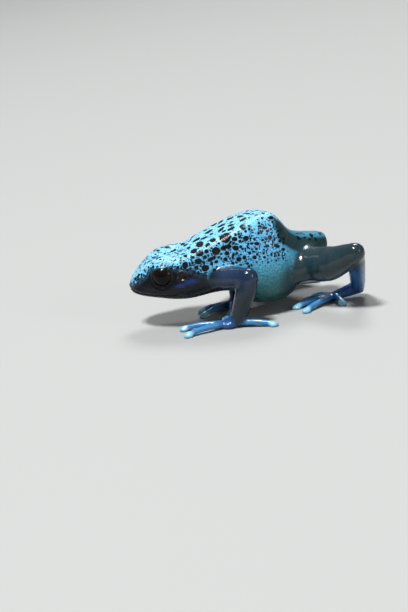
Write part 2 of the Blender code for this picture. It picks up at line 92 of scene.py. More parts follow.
# Skin, its shape
# One moist skin covers head, trunk and limbs without a seam. It is shaped like the solids:
# soft sections along the bent back, round limbs, and flat little discs on the digits.
# Sizes are in millimetres.
PLACE = Vector((0.2, -1.85, 0))
BODY_LENGTH = 42.3
SNOUT_AT = (-23.65, 2.5)
SIDES = {"left": 1, "right": -1}
CLAY_VOXEL = 0.25
MIDLINE_STEP = 0.1
STATION_STEP = 0.45

# Lines of the body along its length: (distance behind the snout tip, value)
HEADING = ((0, -17), (10, -17), (15, -9), (20, -1), (25, 6), (30, 14), (BODY_LENGTH, 15))
TWIST = ((0, 7), (16, 7.5), (22, 3.5), (29, -2), (BODY_LENGTH, -2))
BACK = ((0, 9.1), (0.4, 10.1), (1.2, 11.1), (3.5, 13.1), (5.2, 14.2), (7.6, 14.7), (11.5, 15.2),
        (15, 16.6), (20, 18.5), (24.7, 20.0), (28.6, 20.5), (30.4, 19.4), (33, 16.2),
        (36, 14.6), (39, 13.9), (41.8, 13.2), (BODY_LENGTH, 12.0))
RIDGE_OUT = ((0, 0.4), (0.4, 1.4), (1.2, 2.3), (3.5, 3.2), (5, 3.8), (7.6, 4.3), (11.5, 4.9),
             (15, 5.0), (20, 4.9), (24.7, 4.5), (28.5, 3.9), (32.6, 3.1), (36, 2.9), (41.2, 2.4),
             (BODY_LENGTH, 0.8))
RIDGE_DROP = ((0, 0.1), (1.2, 0.25), (5, 0.2), (7.6, 0.1), (12, 0.45), (24, 0.6), (33, 0.5),
              (BODY_LENGTH, 0.3))
FLANK_OUT = ((0, 0.5), (0.4, 1.7), (1.2, 2.9), (3, 4.3), (6, 5.5), (9.5, 6.3), (12, 6.1),
             (14.5, 5.5), (17, 5.6), (21, 6.6), (26, 7.3), (30, 6.9), (34, 5.3), (38, 3.9),
             (41.6, 2.8), (BODY_LENGTH, 1.0))
FLANK_HIGH = ((0, 8.6), (3, 8.9), (9, 9.2), (14, 9.6), (20, 9.6), (28, 9.0), (34, 9.8),
              (38, 10.8), (BODY_LENGTH, 11.4))
BELLY = ((0, 8.1), (0.4, 7.6), (1.7, 7.05), (5.8, 6.35), (12.7, 5.55), (15, 5.75), (18, 6.15),
         (20, 6.0), (21.6, 4.7), (23.4, 2.9), (25.8, 1.9), (29, 1.5), (33, 2.4), (37, 5.4),
         (41.2, 8.6), (BODY_LENGTH, 10.0))

# Joints of the limbs, in the body's frame: x back, y to the right side, z up
ARM = {
    "left": {
        "shoulder": (-8.6, -5.2, 9.3),
        "elbow": (-1.9, -11.6, 10.0),
        "wrist": (-4.8, -10.8, 1.75),
        "palm": (-6.6, -10.2, 0.95),
        "tips": ((-6.2, -5.4), (-15.4, -7.4), (-15.4, -12.1), (1.4, -14.6)),
    },
    "right": {
        "shoulder": (-7.4, 2.2, 9.3),
        "elbow": (-0.4, 10.4, 8.4),
        "wrist": (-1.4, 4.7, 1.65),
        "palm": (-2.7, 3.5, 0.95),
        "tips": ((-4.4, -2.4), (-9.8, -0.4), (-9.4, 2.9), (3.4, 7.4)),
    },
}
LEG = {
    "left": {
        "hip": (11.6, -3.2, 8.6),
        "knee": (19.4, -14.6, 12.15),
        "heel": (22.1, -4.6, 2.2),
        "sole": (16.9, -4.3, 0.95),
        "tips": ((13.8, -0.6), (11.2, -2.6), (8.5, -5.8), (9.5, -9.5), (17.4, -8.4)),
    },
    "right": {
        "hip": (11.6, 3.6, 8.6),
        "knee": (4.6, 15.2, 8.8),
        "heel": (17.2, 11.6, 1.9),
        "sole": (11.6, 13.4, 0.95),
        "tips": ((8.9, 8.9), (5.8, 10.6), (2.8, 13.4), (2.6, 18.0), (8.4, 19.4)),
    },
}
LIMB_STEPS = 8
DOME_STEPS = (0.25, 0.5, 0.7, 0.85, 0.95, 0.99)
UPPER_ARM_RADII = (2.5, 2.25, 2.0)
FOREARM_RADII = (2.05, 2.1, 1.65)
FOREARM_BULGE = (0.15, -0.1, 0)
PALM_NECK = 1.0
THIGH_RADII = (3.7, 3.55, 2.1)
THIGH_SAG = 1.15
GROIN_RADII = (2.7, 2.2, 2.9)
GROIN_FROM_HIP = (-2.0, -2.5, -0.6)  # on the left, mirrored on the right
SHANK_RADII = (1.95, 1.8, 1.5)
TARSUS_RADII = (1.5, 1.2, 1.0)
DIGIT_RADIUS = 0.62
DIGIT_SWELLS = (1.12, 1, 0.85)
DIGIT_ARCH = 0.25
DIGIT_ROOTS = {"palm": 0.14, "sole": 0.12}
DISC_RADIUS = 0.95
DISC_THICK = 0.55
DISC_HIGH = 0.38
PALM_RADII = (1.9, 1.9, 0.95)
SOLE_RADII = (1.7, 1.25, 0.95)
PAD_SUNK = 0.22

# The eye and the lids around it
EYE_RADIUS = 2.5
EYE_ALONG, EYE_OUT, EYE_HIGH = 7.7, 3.65, 11.45
EYE_SUNK = 1.0
LID = 0.7
BROW_OUT, BROW_HIGH = 2.9, 15.1
BROW_RADII = (3.1, 1.9, 1.7)
EYE_TURN_FORWARD = math.radians(8)
EYE_TURN_UP = math.radians(6)


def profile(knots, at):
    """Smooth curve through the knots that never overshoots them."""
    x = np.array([k[0] for k in knots], float)
    y = np.array([k[1] for k in knots], float)
    step = np.diff(x)
    slope = np.diff(y) / step
    tangent = np.zeros(len(x))
    same = slope[1:] * slope[:-1] > 0
    harmonic = 2 * slope[1:] * slope[:-1] / np.where(same, slope[1:] + slope[:-1], 1)
    tangent[1:-1] = np.where(same, harmonic, 0)
    tangent[0] = slope[0]
    tangent[-1] = slope[-1]
    at = np.clip(at, x[0], x[-1])
    i = np.clip(np.searchsorted(x, at) - 1, 0, len(x) - 2)
    t = (at - x[i]) / step[i]
    start = (2 * t**3 - 3 * t**2 + 1) * y[i] + (t**3 - 2 * t**2 + t) * step[i] * tangent[i]
    end = (3 * t**2 - 2 * t**3) * y[i + 1] + (t**3 - t**2) * step[i] * tangent[i + 1]
    return start + end


midline_along = np.arange(0, BODY_LENGTH + MIDLINE_STEP / 2, MIDLINE_STEP)
midline_angle = np.radians(profile(HEADING, midline_along))
midline_x, midline_y = (
    start + np.concatenate([[0], np.cumsum(part(midline_angle[1:]) * MIDLINE_STEP)])
    for start, part in zip(SNOUT_AT, (np.cos, np.sin)))


def body_point(along, out, high):
    """A point of the body; out is positive towards the left side."""
    angle = math.radians(float(profile(HEADING, along)))
    x = np.interp(along, midline_along, midline_x) + out * math.sin(angle)
    y = np.interp(along, midline_along, midline_y) - out * math.cos(angle)
    lean = out * math.tan(math.radians(float(profile(TWIST, along))))
    return Vector((float(x), float(y), float(high - lean)))


def body_places(points):
    """How far behind the snout, how far out and how high each point lies, along the bent body."""
    path = np.stack([midline_x, midline_y], 1)
    nearest = np.concatenate([
        ((few[:, None, :2] - path[None]) ** 2).sum(2).argmin(1)
        for few in np.array_split(points, 60)])
    angle = midline_angle[nearest]
    gap = points[:, :2] - path[nearest]
    along = midline_along[nearest] + gap[:, 0] * np.cos(angle) + gap[:, 1] * np.sin(angle)
    out = gap[:, 0] * np.sin(angle) - gap[:, 1] * np.cos(angle)
    high = points[:, 2] + out * np.tan(np.radians(profile(TWIST, along)))
    return along, out, high


def through(a, b, c, d, t):
    """Smooth curve from b to c, which goes on to a and d; t runs from 0 to 1."""
    return 0.5 * (2 * b + (c - a) * t + (2 * a - 5 * b + 4 * c - d) * t**2
                  + (3 * b - a - 3 * c + d) * t**3)


def section_ring(along, count=72):
    """Evenly spread points of the body's closed cross-section."""
    back, ridge, drop, out, flank, belly = (
        float(profile(line, along))
        for line in (BACK, RIDGE_OUT, RIDGE_DROP, FLANK_OUT, FLANK_HIGH, BELLY))
    flank = min(max(flank, belly + 0.2), back - 0.2)
    half = (
        (0, back),
        (0.55 * ridge, back - 0.15 * drop),
        (ridge, back - drop),
        (ridge + 0.62 * (out - ridge), flank + 0.55 * (back - drop - flank)),
        (out, flank),
        (0.87 * out, flank - 0.55 * (flank - belly)),
        (0.5 * out, belly + 0.1 * (flank - belly)),
        (0, belly),
    )
    p = np.array(list(half) + [(-y, z) for y, z in reversed(half[1:-1])])
    t = np.arange(10)[:, None] / 10
    curve = [through(p[i - 1], p[i], p[(i + 1) % len(p)], p[(i + 2) % len(p)], t)
             for i in range(len(p))]
    curve = np.concatenate(curve + [p[:1]])
    length = np.concatenate([[0], np.cumsum(np.linalg.norm(np.diff(curve, axis=0), axis=1))])
    at = np.linspace(0, length[-1], count, endpoint=False)
    outs = np.interp(at, length, curve[:, 0])
    highs = np.interp(at, length, curve[:, 1])
    return [body_point(along, o, h) for o, h in zip(outs, highs)]


def add_loft(bm, rings):
    """Quads over the rings, with a point at each end."""
    rows = [[bm.verts.new(p) for p in points] for points in rings]
    for row, after in zip(rows, rows[1:]):
        for i in range(len(row)):
            j = (i + 1) % len(row)
            bm.faces.new((row[i], row[j], after[j], after[i]))
    for row in (rows[0], rows[-1]):
        tip = bm.verts.new(sum((v.co for v in row), Vector()) / len(row))
        for i in range(len(row)):
            bm.faces.new((row[i], row[(i + 1) % len(row)], tip))


def add_limb(bm, points, radii, sides=24):
    """Round tube along a smooth curve through the points, with domed ends."""
    points = [Vector(p) for p in points]
    chain = [points[0] * 2 - points[1]] + points + [points[-1] * 2 - points[-2]]
    path = []
    for i in range(1, len(chain) - 2):
        for t in [k / LIMB_STEPS for k in range(LIMB_STEPS)]:
            radius = radii[i - 1] * (1 - t) + radii[i] * t
            path.append((through(*chain[i - 1:i + 3], t), radius))
    path.append((points[-1], radii[-1]))
    start = (path[0][0] - path[1][0]).normalized()
    end = (path[-1][0] - path[-2][0]).normalized()
    domes = [(d, math.sqrt(1 - d * d)) for d in DOME_STEPS]
    head = [(path[0][0] + start * radii[0] * d, radii[0] * w) for d, w in reversed(domes)]
    tail = [(path[-1][0] + end * radii[-1] * d, radii[-1] * w) for d, w in domes]
    path = head + path + tail
    up = Vector((0, 0, 1)) if abs(start.z) < 0.9 else Vector((1, 0, 0))
    rings = []
    for i, (centre, radius) in enumerate(path):
        along = (path[min(i + 1, len(path) - 1)][0] - path[max(i - 1, 0)][0]).normalized()
        side = along.cross(up).normalized()
        up = side.cross(along).normalized()
        turns = [math.tau * k / sides for k in range(sides)]
        rings.append([centre + radius * (math.cos(a) * side + math.sin(a) * up) for a in turns])
    add_loft(bm, rings)


def add_pad(bm, centre, radii, angle=0):
    """Ellipsoid at the centre, turned by an angle about the vertical."""
    place = Matrix.Translation(centre) @ Matrix.Rotation(angle, 4, "Z")
    place = place @ Matrix.Diagonal((*radii, 1))
    bmesh.ops.create_uvsphere(bm, u_segments=32, v_segments=20, radius=1, matrix=place)


def between(a, b, share):
    """The point at a share of the way from a to b."""
    return Vector(a).lerp(Vector(b), share)


def eye_axis(side):
    """Direction in which an eye looks: outwards, a little forwards and up."""
    out = body_point(EYE_ALONG, side * 2, EYE_HIGH) - body_point(EYE_ALONG, side, EYE_HIGH)
    front = body_point(EYE_ALONG - 1, 0, EYE_HIGH) - body_point(EYE_ALONG, 0, EYE_HIGH)
    flat = out.normalized() * math.cos(EYE_TURN_FORWARD)
    flat += front.normalized() * math.sin(EYE_TURN_FORWARD)
    lifted = flat.normalized() * math.cos(EYE_TURN_UP)
    return (lifted + Vector((0, 0, math.sin(EYE_TURN_UP)))).normalized()


def applied(piece):
    """Make the mesh that the modifiers show the piece's own, and drop the modifiers."""
    shown = piece.evaluated_get(bpy.context.evaluated_depsgraph_get())
    mesh = bpy.data.meshes.new_from_object(shown)
    piece.modifiers.clear()
    piece.data = mesh
    return mesh


clay = bmesh.new()
stations = [0, 0.15, 0.4, 0.8, 1.3] + list(np.arange(2, BODY_LENGTH - 0.9, STATION_STEP))
stations += [BODY_LENGTH - gap for gap in (0.5, 0.25, 0)]
add_loft(clay, [section_ring(s) for s in stations])
bare_trunk = BVHTree.FromBMesh(clay)
digits = []
for name, side in SIDES.items():
    axis = eye_axis(side)
    centre = body_point(EYE_ALONG, side * EYE_OUT, EYE_HIGH)
    add_pad(clay, centre - axis * EYE_SUNK, [EYE_RADIUS + LID] * 3)
    brow = body_point(EYE_ALONG + 0.3, side * BROW_OUT, BROW_HIGH - BROW_RADII[2])
    add_pad(clay, brow, BROW_RADII, math.radians(float(profile(HEADING, EYE_ALONG))))
    arm, leg = ARM[name], LEG[name]
    upper_arm = (arm["shoulder"], between(arm["shoulder"], arm["elbow"], 0.5), arm["elbow"])
    add_limb(clay, upper_arm, UPPER_ARM_RADII)
    forearm_bulge = between(arm["elbow"], arm["wrist"], 0.35) + Vector(FOREARM_BULGE)
    add_limb(clay, (arm["elbow"], forearm_bulge, arm["wrist"]), FOREARM_RADII)
    add_limb(clay, (arm["wrist"], arm["palm"]), (FOREARM_RADII[2], PALM_NECK))
    add_pad(clay, Vector(arm["palm"]) - Vector((0, 0, PAD_SUNK)), PALM_RADII)
    thigh_middle = between(leg["hip"], leg["knee"], 0.5) - Vector((0, 0, THIGH_SAG))
    add_limb(clay, (leg["hip"], thigh_middle, leg["knee"]), THIGH_RADII)
    back, across, up = GROIN_FROM_HIP
    add_pad(clay, Vector(leg["hip"]) + Vector((back, across * side, up)), GROIN_RADII)
    shank_middle = between(leg["knee"], leg["heel"], 0.45)
    add_limb(clay, (leg["knee"], shank_middle, leg["heel"]), SHANK_RADII)
    tarsus_middle = between(leg["heel"], leg["sole"], 0.5)
    add_limb(clay, (leg["heel"], tarsus_middle, leg["sole"]), TARSUS_RADII)
    add_pad(clay, Vector(leg["sole"]) - Vector((0, 0, PAD_SUNK)), SOLE_RADII)
    for joints, pad in ((arm, "palm"), (leg, "sole")):
        for tip in joints["tips"]:
            root = between(joints[pad], (*tip, 0.9), DIGIT_ROOTS[pad])
            end = Vector((*tip, DIGIT_RADIUS))
            arch = between(root, end, 0.55) + Vector((0, 0, DIGIT_ARCH))
            add_limb(clay, (root, arch, end), [DIGIT_RADIUS * swell for swell in DIGIT_SWELLS], 16)
            way = end - arch
            facing = math.atan2(way.y, way.x)
            digits.append((Vector((*tip, DISC_HIGH)), facing))
            add_pad(clay, digits[-1][0], (DISC_RADIUS * 1.1, DISC_RADIUS, DISC_THICK), facing)

bmesh.ops.recalc_face_normals(clay, faces=clay.faces)
skin_mesh = bpy.data.meshes.new("skin")
clay.to_mesh(skin_mesh)
clay.free()
skin = new_object("skin", skin_mesh)
fuse = skin.modifiers.new("fuse", "REMESH")
fuse.mode = "VOXEL"
fuse.voxel_size = CLAY_VOXEL
fused = applied(skin)


# Skin, folds and openings of the head
# The skin forms thick lids round each eye, a closed mouth line with a lip above it, two
# nostrils at the snout tip and a round ear drum in a low rim behind each eye.
FINE_HEAD_END = 13.4
MOUTH_LINE = ((-1, 8.45), (0, 8.4), (2, 8.2), (6, 8.0), (9, 8.0), (10.4, 8.25), (11.3, 8.9))
MOUTH_CORNER = 11.0
LIP_SWELL, MOUTH_DEPTH = 0.13, 0.26
BROW_DIP, BROW_DIP_WIDTH = 0.45, 1.4
LID_REACH_TOP, LID_REACH_BOTTOM = 1.78, 2.12
LID_THICK, LID_ROUND = 0.2, 0.34
LID_CREASE, LID_CREASE_AT = 0.1, 1.05
NOSTRIL = (2.05, 3.05, 10.35)
NOSTRIL_RADIUS, NOSTRIL_DEPTH, NOSTRIL_RIM = 0.3, 0.4, 0.07
EAR = (11.4, 5.6, 11.7)
EYE = (EYE_ALONG, EYE_OUT, EYE_HIGH)
MOUTH_FINE, EYE_FINE, NOSTRIL_FINE, EAR_FINE = 0.7, 3.7, 0.9, 1.7
EAR_RADIUS, EAR_RIM, EAR_DEPTH = 1.0, 0.13, 0.12
EVEN_SOFTNESS, EVEN_ROUNDS = 0.3, 2
RAISED_SOFTNESS, RAISED_ROUNDS = 0.5, 8
ROOT_REACH, ROOT_ROUNDS = 4.0, 110
OUTLINE_GAP = 0.01
BEND_SOFTNESS, BEND_LOWEST = 0.13, 1.2


def rise(low, high, x):
    """Smooth step from 0 at low to 1 at high."""
    t = np.clip((x - low) / (high - low), 0, 1)
    return t * t * (3 - 2 * t)


def bell(x, width):
    """1 at x = 0, falling off to both sides."""
    return np.exp(-(x / width) ** 2)


def on_side(spot, side):
    """A place of the head on one side, given as how far back, out and high."""
    return np.array(body_point(spot[0], side * spot[1], spot[2]))


def relaxed(points, edges, amount, rounds):
    """Points drawn towards the middle of their neighbours, each by its own amount."""
    a, b = edges[:, 0], edges[:, 1]
    ends = np.concatenate([a, b])
    count = np.bincount(ends, minlength=len(points))[:, None]
    for _ in range(rounds):
        others = np.concatenate([points[b], points[a]])
        total = np.stack([np.bincount(ends, others[:, k], len(points)) for k in range(3)], 1)
        points = points + amount[:, None] * (total / count - points)
    return points


def rows_of(items, name, width, kind=float):
    """One row of values for each point, edge or normal of a mesh."""
    values = np.empty(len(items) * width, kind)
    items.foreach_get(name, values)
    return values.reshape(-1, width)


def off_trunk(points):
    """Distance of each point from the bare trunk, which tells the limbs from the body."""
    return np.array([bare_trunk.find_nearest(p)[3] for p in points.tolist()])


points = rows_of(fused.vertices, "co", 3)
edges = rows_of(fused.edges, "vertices", 2, int)
raised = RAISED_SOFTNESS * rise(1.0, 2.6, points[:, 2])
points = relaxed(points, edges, np.full(len(points), EVEN_SOFTNESS), EVEN_ROUNDS)
points = relaxed(points, edges, raised, RAISED_ROUNDS)

# The limbs grow out of the body in soft folds
root = np.zeros(len(points))
for name in SIDES:
    for joint, thick in ((ARM[name]["shoulder"], UPPER_ARM_RADII[0]),
                         (LEG[name]["hip"], THIGH_RADII[0])):
        gap = np.linalg.norm(points - np.array(joint), axis=1) / thick
        root = np.maximum(root, 1 - rise(1.25, 1.9, gap))
root *= 1 - rise(ROOT_REACH * 0.4, ROOT_REACH, off_trunk(points))
soften = 0.5 * root
for name in SIDES:
    for joint, thick in ((ARM[name]["elbow"], UPPER_ARM_RADII[2]),
                         (LEG[name]["knee"], THIGH_RADII[2]),
                         (LEG[name]["heel"], SHANK_RADII[2])):
        gap = np.linalg.norm(points - np.array(joint), axis=1) / thick
        bend = BEND_SOFTNESS * (1 - rise(1.2, 1.9, gap))
        soften = np.maximum(soften, bend * (points[:, 2] > BEND_LOWEST))
points = relaxed(points, edges, soften, ROOT_ROUNDS)
fused.vertices.foreach_set("co", points.ravel())

# Finer faces on the head, where the small folds are
along, out, high = body_places(points)
on_head = (along < FINE_HEAD_END) & (high > 5.2) & (np.abs(out) < 8)
near_fold = np.abs(high - profile(MOUTH_LINE, along)) < MOUTH_FINE
near_fold &= (np.abs(out) > 1.0) | (along < 2)
for spot, reach in ((EYE, EYE_FINE), (NOSTRIL, NOSTRIL_FINE), (EAR, EAR_FINE)):
    for side in SIDES.values():
        near_fold |= ((points - on_side(spot, side)) ** 2).sum(1) < reach**2
fine = on_head & near_fold
bm = bmesh.new()
bm.from_mesh(fused)
edges = [e for e in bm.edges if fine[e.verts[0].index] and fine[e.verts[1].index]]
bmesh.ops.subdivide_edges(bm, edges=edges, cuts=1, use_grid_fill=True)
bmesh.ops.triangulate(bm, faces=[f for f in bm.faces if len(f.verts) > 4])
bm.to_mesh(fused)
bm.free()

fused.update()
points = rows_of(fused.vertices, "co", 3)
normals = rows_of(fused.vertex_normals, "vector", 3)
along, out, high = body_places(points)
head_only = (along < FINE_HEAD_END + 1) & (high > 5) & (np.abs(out) < 8)

# Mouth: a fold that runs round the snout, with the upper lip swelling above it
off_mouth = high - profile(MOUTH_LINE, along)
mouth_end = 1 - rise(MOUTH_CORNER - 1.2, MOUTH_CORNER, along)
mouth_here = head_only * mouth_end
fold = -MOUTH_DEPTH * bell(off_mouth, 0.16) + LIP_SWELL * bell(off_mouth - 0.5, 0.3)
fold += 0.06 * bell(off_mouth + 0.45, 0.3)
points += normals * (fold * mouth_here)[:, None]

# The top of the head dips between the brows
dip = bell(out, BROW_DIP_WIDTH) * rise(3, 6.5, along) * (1 - rise(10, 13, along))
dip *= rise(-1.6, -0.3, high - profile(BACK, along))
points -= normals * (BROW_DIP * dip)[:, None]

for side in SIDES.values():
    # Nostril
    gap = np.linalg.norm(points - on_side(NOSTRIL, side), axis=1)
    pit = NOSTRIL_RIM * bell(gap - NOSTRIL_RADIUS * 1.5, 0.15)
    pit -= NOSTRIL_DEPTH * (1 - rise(0.1, NOSTRIL_RADIUS, gap))
    points += normals * (pit * head_only * (gap < 1))[:, None]
    # Ear drum
    gap = np.linalg.norm(points - on_side(EAR, side), axis=1)
    drum = EAR_RIM * bell(gap - EAR_RADIUS, 0.2)
    drum -= EAR_DEPTH * (1 - rise(0.5, EAR_RADIUS, gap))
    points += normals * (drum * head_only * (gap < 2))[:, None]
    # Lids: the skin closes over the ball of the eye and ends in a rounded edge
    eye = on_side(EYE, side)
    axis = np.array(eye_axis(side))
    rel = points - eye
    deep = rel @ axis
    across = rel - deep[:, None] * axis
    reach = np.linalg.norm(across, axis=1)
    upward = across[:, 2] / np.maximum(reach, 1e-6)
    edge = LID_REACH_BOTTOM + (LID_REACH_TOP - LID_REACH_BOTTOM) * rise(-0.3, 0.9, upward)
    edge = edge * (1 + 0.06 * np.abs(across[:, 0]) / np.maximum(reach, 1e-6))
    distance = np.maximum(np.linalg.norm(rel, axis=1), 1e-6)
    facing_out = rise(-0.2, 0.4, deep) * (distance < 4.2)
    rounding = np.clip(1 - ((reach - edge - LID_ROUND) / LID_ROUND) ** 2, 0, 1)
    lid_top = EYE_RADIUS + LID_THICK * np.sqrt(rounding)
    under_ball = EYE_RADIUS - 0.25 - 0.5 * rise(0, 0.5, edge - reach)
    lid_top = np.where(reach < edge, under_ball, lid_top)
    hold = (1 - rise(edge + 0.3, edge + 0.95, reach)) * facing_out
    past_edge = np.maximum(distance, EYE_RADIUS + LID_THICK)
    target = np.where(reach < edge + LID_ROUND, lid_top, past_edge)
    moved = distance + (target - distance) * hold
    points = eye + rel * (moved / distance)[:, None]
    # Crease between the lid and the brow
    crease = -LID_CREASE * bell(reach - edge - LID_CREASE_AT, 0.16)
    crease *= rise(0.1, 0.6, upward) * facing_out
    points += normals * crease[:, None]

# The skin lies on the floor and keeps inside the box round the solids
room_low, room_high = (np.array(corner) / MM - np.array(PLACE) for corner in (cad_low, cad_high))
room_low[:2] += OUTLINE_GAP
points = np.clip(points, room_low, room_high - OUTLINE_GAP)
fused.vertices.foreach_set("co", points.ravel())
fused.update()


# Skin, its markings
# The colour lies in the skin: sky blue with black spots on the back, turquoise on the flanks, near
# black on face and throat, slate on the thighs, and blue on hands and feet. Part of it is painted
# light and shade: a pale painted sheen on the top of the back, and painted shade that darkens the
# belly, the face and throat, the limbs, the side of the rump and the groin.
LEFT_SPOTS = (  # seen from the camera, in its pixels: across, down, length, width, tilt
    (225, 237, 11.6, 9.4, 25), (234.5, 239, 5.4, 4.6, 0), (246, 238.2, 5.4, 5.2, 0),
    (242.5, 226.8, 5.6, 5.4, 0), (231, 228.8, 7.5, 2.8, 25), (212.7, 240, 6, 4, 15),
    (223.6, 248, 5.4, 5, 0), (228.6, 246.6, 5.4, 4.8, 10), (235.5, 248, 6, 5, 0),
    (216, 251, 8, 7.7, 0), (206.8, 251.4, 3.7, 4.3, 0), (226.8, 253.3, 4.6, 4, 0),
    (236.4, 253.6, 3.2, 3, 0), (233, 256.4, 6.2, 1.9, 85), (225.4, 259.3, 4.4, 4, 0),
    (238.6, 259.5, 4.9, 4.7, 0), (244.4, 257.7, 3.7, 4.1, 0), (199.7, 244.3, 7.4, 6, 25),
    (207.8, 245, 5.1, 4.8, 0), (193.7, 250.7, 6.6, 4, 28), (199.7, 253.3, 7.4, 5.6, 30),
    (192.7, 257.3, 4.3, 2.8, -20), (205, 257.3, 4.2, 3.3, 45), (210, 259.6, 4.8, 3.8, 20),
    (213.6, 258, 4.6, 3.4, 25), (198.3, 261.3, 6.8, 5.5, 5), (203.9, 262.5, 3.1, 3.1, 0),
    (216.3, 261.8, 4, 2.7, 15), (211.6, 263.8, 3.1, 3, 0), (196.3, 267.7, 4.5, 4, 0),
    (205.3, 268.3, 7.2, 6.2, 10), (214.3, 270.1, 2.9, 2.8, 0), (185.2, 265.3, 6.2, 6.8, 0),
    (185.3, 256, 3, 3.8, 70), (188.7, 247.7, 4.2, 2.2, 30), (204, 238, 7.5, 1.9, 22),
    (167.7, 247, 6, 2.3, 0), (173.2, 250.8, 7.6, 1.9, 26), (180.3, 251, 6, 1.7, 24),
    (185.7, 245, 5.4, 1.7, 30), (158, 250.7, 3.2, 1.7, 0), (174.7, 260.3, 3, 1.5, 30),
    (221.4, 225.5, 8.5, 2, 24), (208.6, 231.8, 8.5, 2.3, 30), (213.6, 224.7, 6.5, 1.9, 25),
    (230, 218.6, 6.8, 1.9, 20), (240, 216.4, 5.5, 2.6, 10), (248.2, 213.6, 4.6, 1.5, 8),
    (270, 237.5, 3.9, 4.6, 0), (258.6, 233.2, 2.7, 2.7, 0), (256.8, 243.6, 5, 3.8, 0),
    (266.4, 246.4, 5, 2.7, 10), (277, 246, 6, 3.5, -15), (283.5, 238.6, 2.8, 2.8, 0),
    (283.6, 242.7, 2.6, 2.5, 0), (283.2, 249.5, 3, 3.2, 0), (284.5, 255, 2, 2, 0),
    (271, 217.7, 5.6, 3.3, 0), (259.5, 226.4, 3.4, 2.4, 0), (264.6, 227.8, 4.6, 3, 10),
    (251.8, 243.6, 2.9, 2.6, 0), (262.7, 240, 2.4, 2.4, 0), (274.5, 239.5, 2.3, 2.3, 0),
    (256.4, 248.6, 2.6, 1.9, 0), (263.6, 250, 2.3, 1.7, 0), (280, 251.4, 2.1, 2, 0),
    (251.8, 249.5, 1.9, 1.8, 0), (248.6, 256.8, 1.9, 1.8, 0), (259.5, 256.8, 1.7, 1.6, 0),
    (267.7, 255.5, 1.7, 1.6, 0), (268.2, 262.3, 1.8, 1.6, 0), (256.4, 262.3, 1.7, 1.6, 0),
    (249, 266, 2.4, 2.2, 0), (240.5, 265, 2.4, 2.2, 0), (242.7, 249, 2.4, 2.2, 0),
    (241, 254.5, 2, 2, 0), (218.6, 257.3, 2.6, 1.8, 20), (221.4, 258.6, 2, 2, 0),
    (252.5, 232.6, 2.4, 2, 0), (239, 234, 2.6, 1.8, 20), (218.8, 243, 2.4, 2.2, 0),
    (230.8, 242.4, 2.2, 2, 0), (221, 254, 2.1, 2, 0), (211.6, 248.4, 2.2, 2, 0),
    (200.6, 266.4, 2, 1.9, 0), (192.6, 263.2, 2.4, 2, 30), (190.4, 268.4, 2.2, 2.6, 0),
)
SPOT_REACH = 1.6
HIDDEN_SPOTS, HIDDEN_TRIES = 150, 6000
HIDDEN_SEED = 11
SPOT_GAP = 0.34
SPOT_STRETCH = 3.2

# Upper edge of the dark face, as height over the distance behind the snout
FACE_EDGE = ((0, 8.7), (0.9, 9.3), (1.65, 10.0), (2.55, 10.5), (3.3, 11.0), (4.05, 11.6),
             (4.65, 12.2), (5.4, 13.0), (6.15, 13.4), (7.2, 13.6), (8.7, 13.6), (10.05, 13.3),
             (10.8, 13.0), (12.5, 12.6), (13.5, 12.0), (15, 11.4), (16.2, 10.8), (17.5, 9.4),
             (19.5, 7.0), (21.5, 3.0), (24, -2), (BODY_LENGTH, -4))
CHEEK_PATCHES = ((11.0, 9.95, 1.1, 0.5), (12.8, 10.55, 1.4, 0.85), (14.5, 10.9, 0.7, 0.4))
# Where the dark side of the rump begins behind the snout, at each height; it is darker partly in
# its own colour and partly in painted shade
RUMP_LINE = ((0, 31), (9.5, 31.5), (10.4, 32.4), (11.3, 33), (12.2, 31.8), (13.7, 29.8), (15, 28.7),
             (17, 28.7), (22, 29.2))
RUMP_START, RUMP_FULL = 29.5, 32.5
GROIN_SHADE, GROIN_REACH = (-2.2, -3.2, -2.6), 6.2  # from the left hip, mirrored on the right
RUMP_BAND = 0.9


def tint(red, green, blue):
    """Linear colour of a screen colour, 0 to 255."""
    return np.array([(c / 255 / 12.92) if c < 10 else ((c / 255 + 0.055) / 1.055) ** 2.4
                     for c in (red, green, blue)])


# Some of these colours carry painted light: the pale back holds a painted highlight, and belly,
# face, throat, rump side and limbs are darkened by painted shade
SKY = tint(96, 180, 226)
SKY_PALE_AND_SHEEN = tint(132, 202, 234)
TURQUOISE = tint(74, 154, 184)
SEA_GREEN = tint(62, 134, 148)
BELLY_GREEN_AND_SHADE = tint(44, 92, 90)
FACE_BLACK_AND_SHADE = tint(9, 14, 22)
THROAT_AND_SHADE = tint(7, 11, 15)
COBALT = tint(26, 52, 116)
RUMP_TEAL_AND_SHADE = tint(28, 54, 56)
RUMP_EDGE = tint(58, 126, 154)
ARM_GREY = tint(30, 46, 70)
FOREARM_GREY = tint(26, 38, 46)
HAND_BLUE = tint(34, 82, 138)
THIGH_SLATE = tint(34, 54, 60)
SHANK_BLUE = tint(42, 90, 140)
FOOT_BLUE = tint(38, 86, 142)
DIGIT_BLUE = tint(64, 134, 190)
DISC_PALE = tint(146, 204, 230)


def mixed(a, b, amount):
    """Row by row between two colours."""
    amount = np.asarray(amount)[:, None]
    return a * (1 - amount) + b * amount


def bone_distance(points, a, b, thick_a, thick_b):
    """Distance from the surface of a round bone, and the share of the way along it."""
    a, b = np.array(a, float), np.array(b, float)
    share = np.clip((points - a) @ (b - a) / ((b - a) @ (b - a)), 0, 1)
    thick = thick_a + (thick_b - thick_a) * share
    gap = np.linalg.norm(points - a - share[:, None] * (b - a), axis=1) - thick
    return np.maximum(gap, 0), share
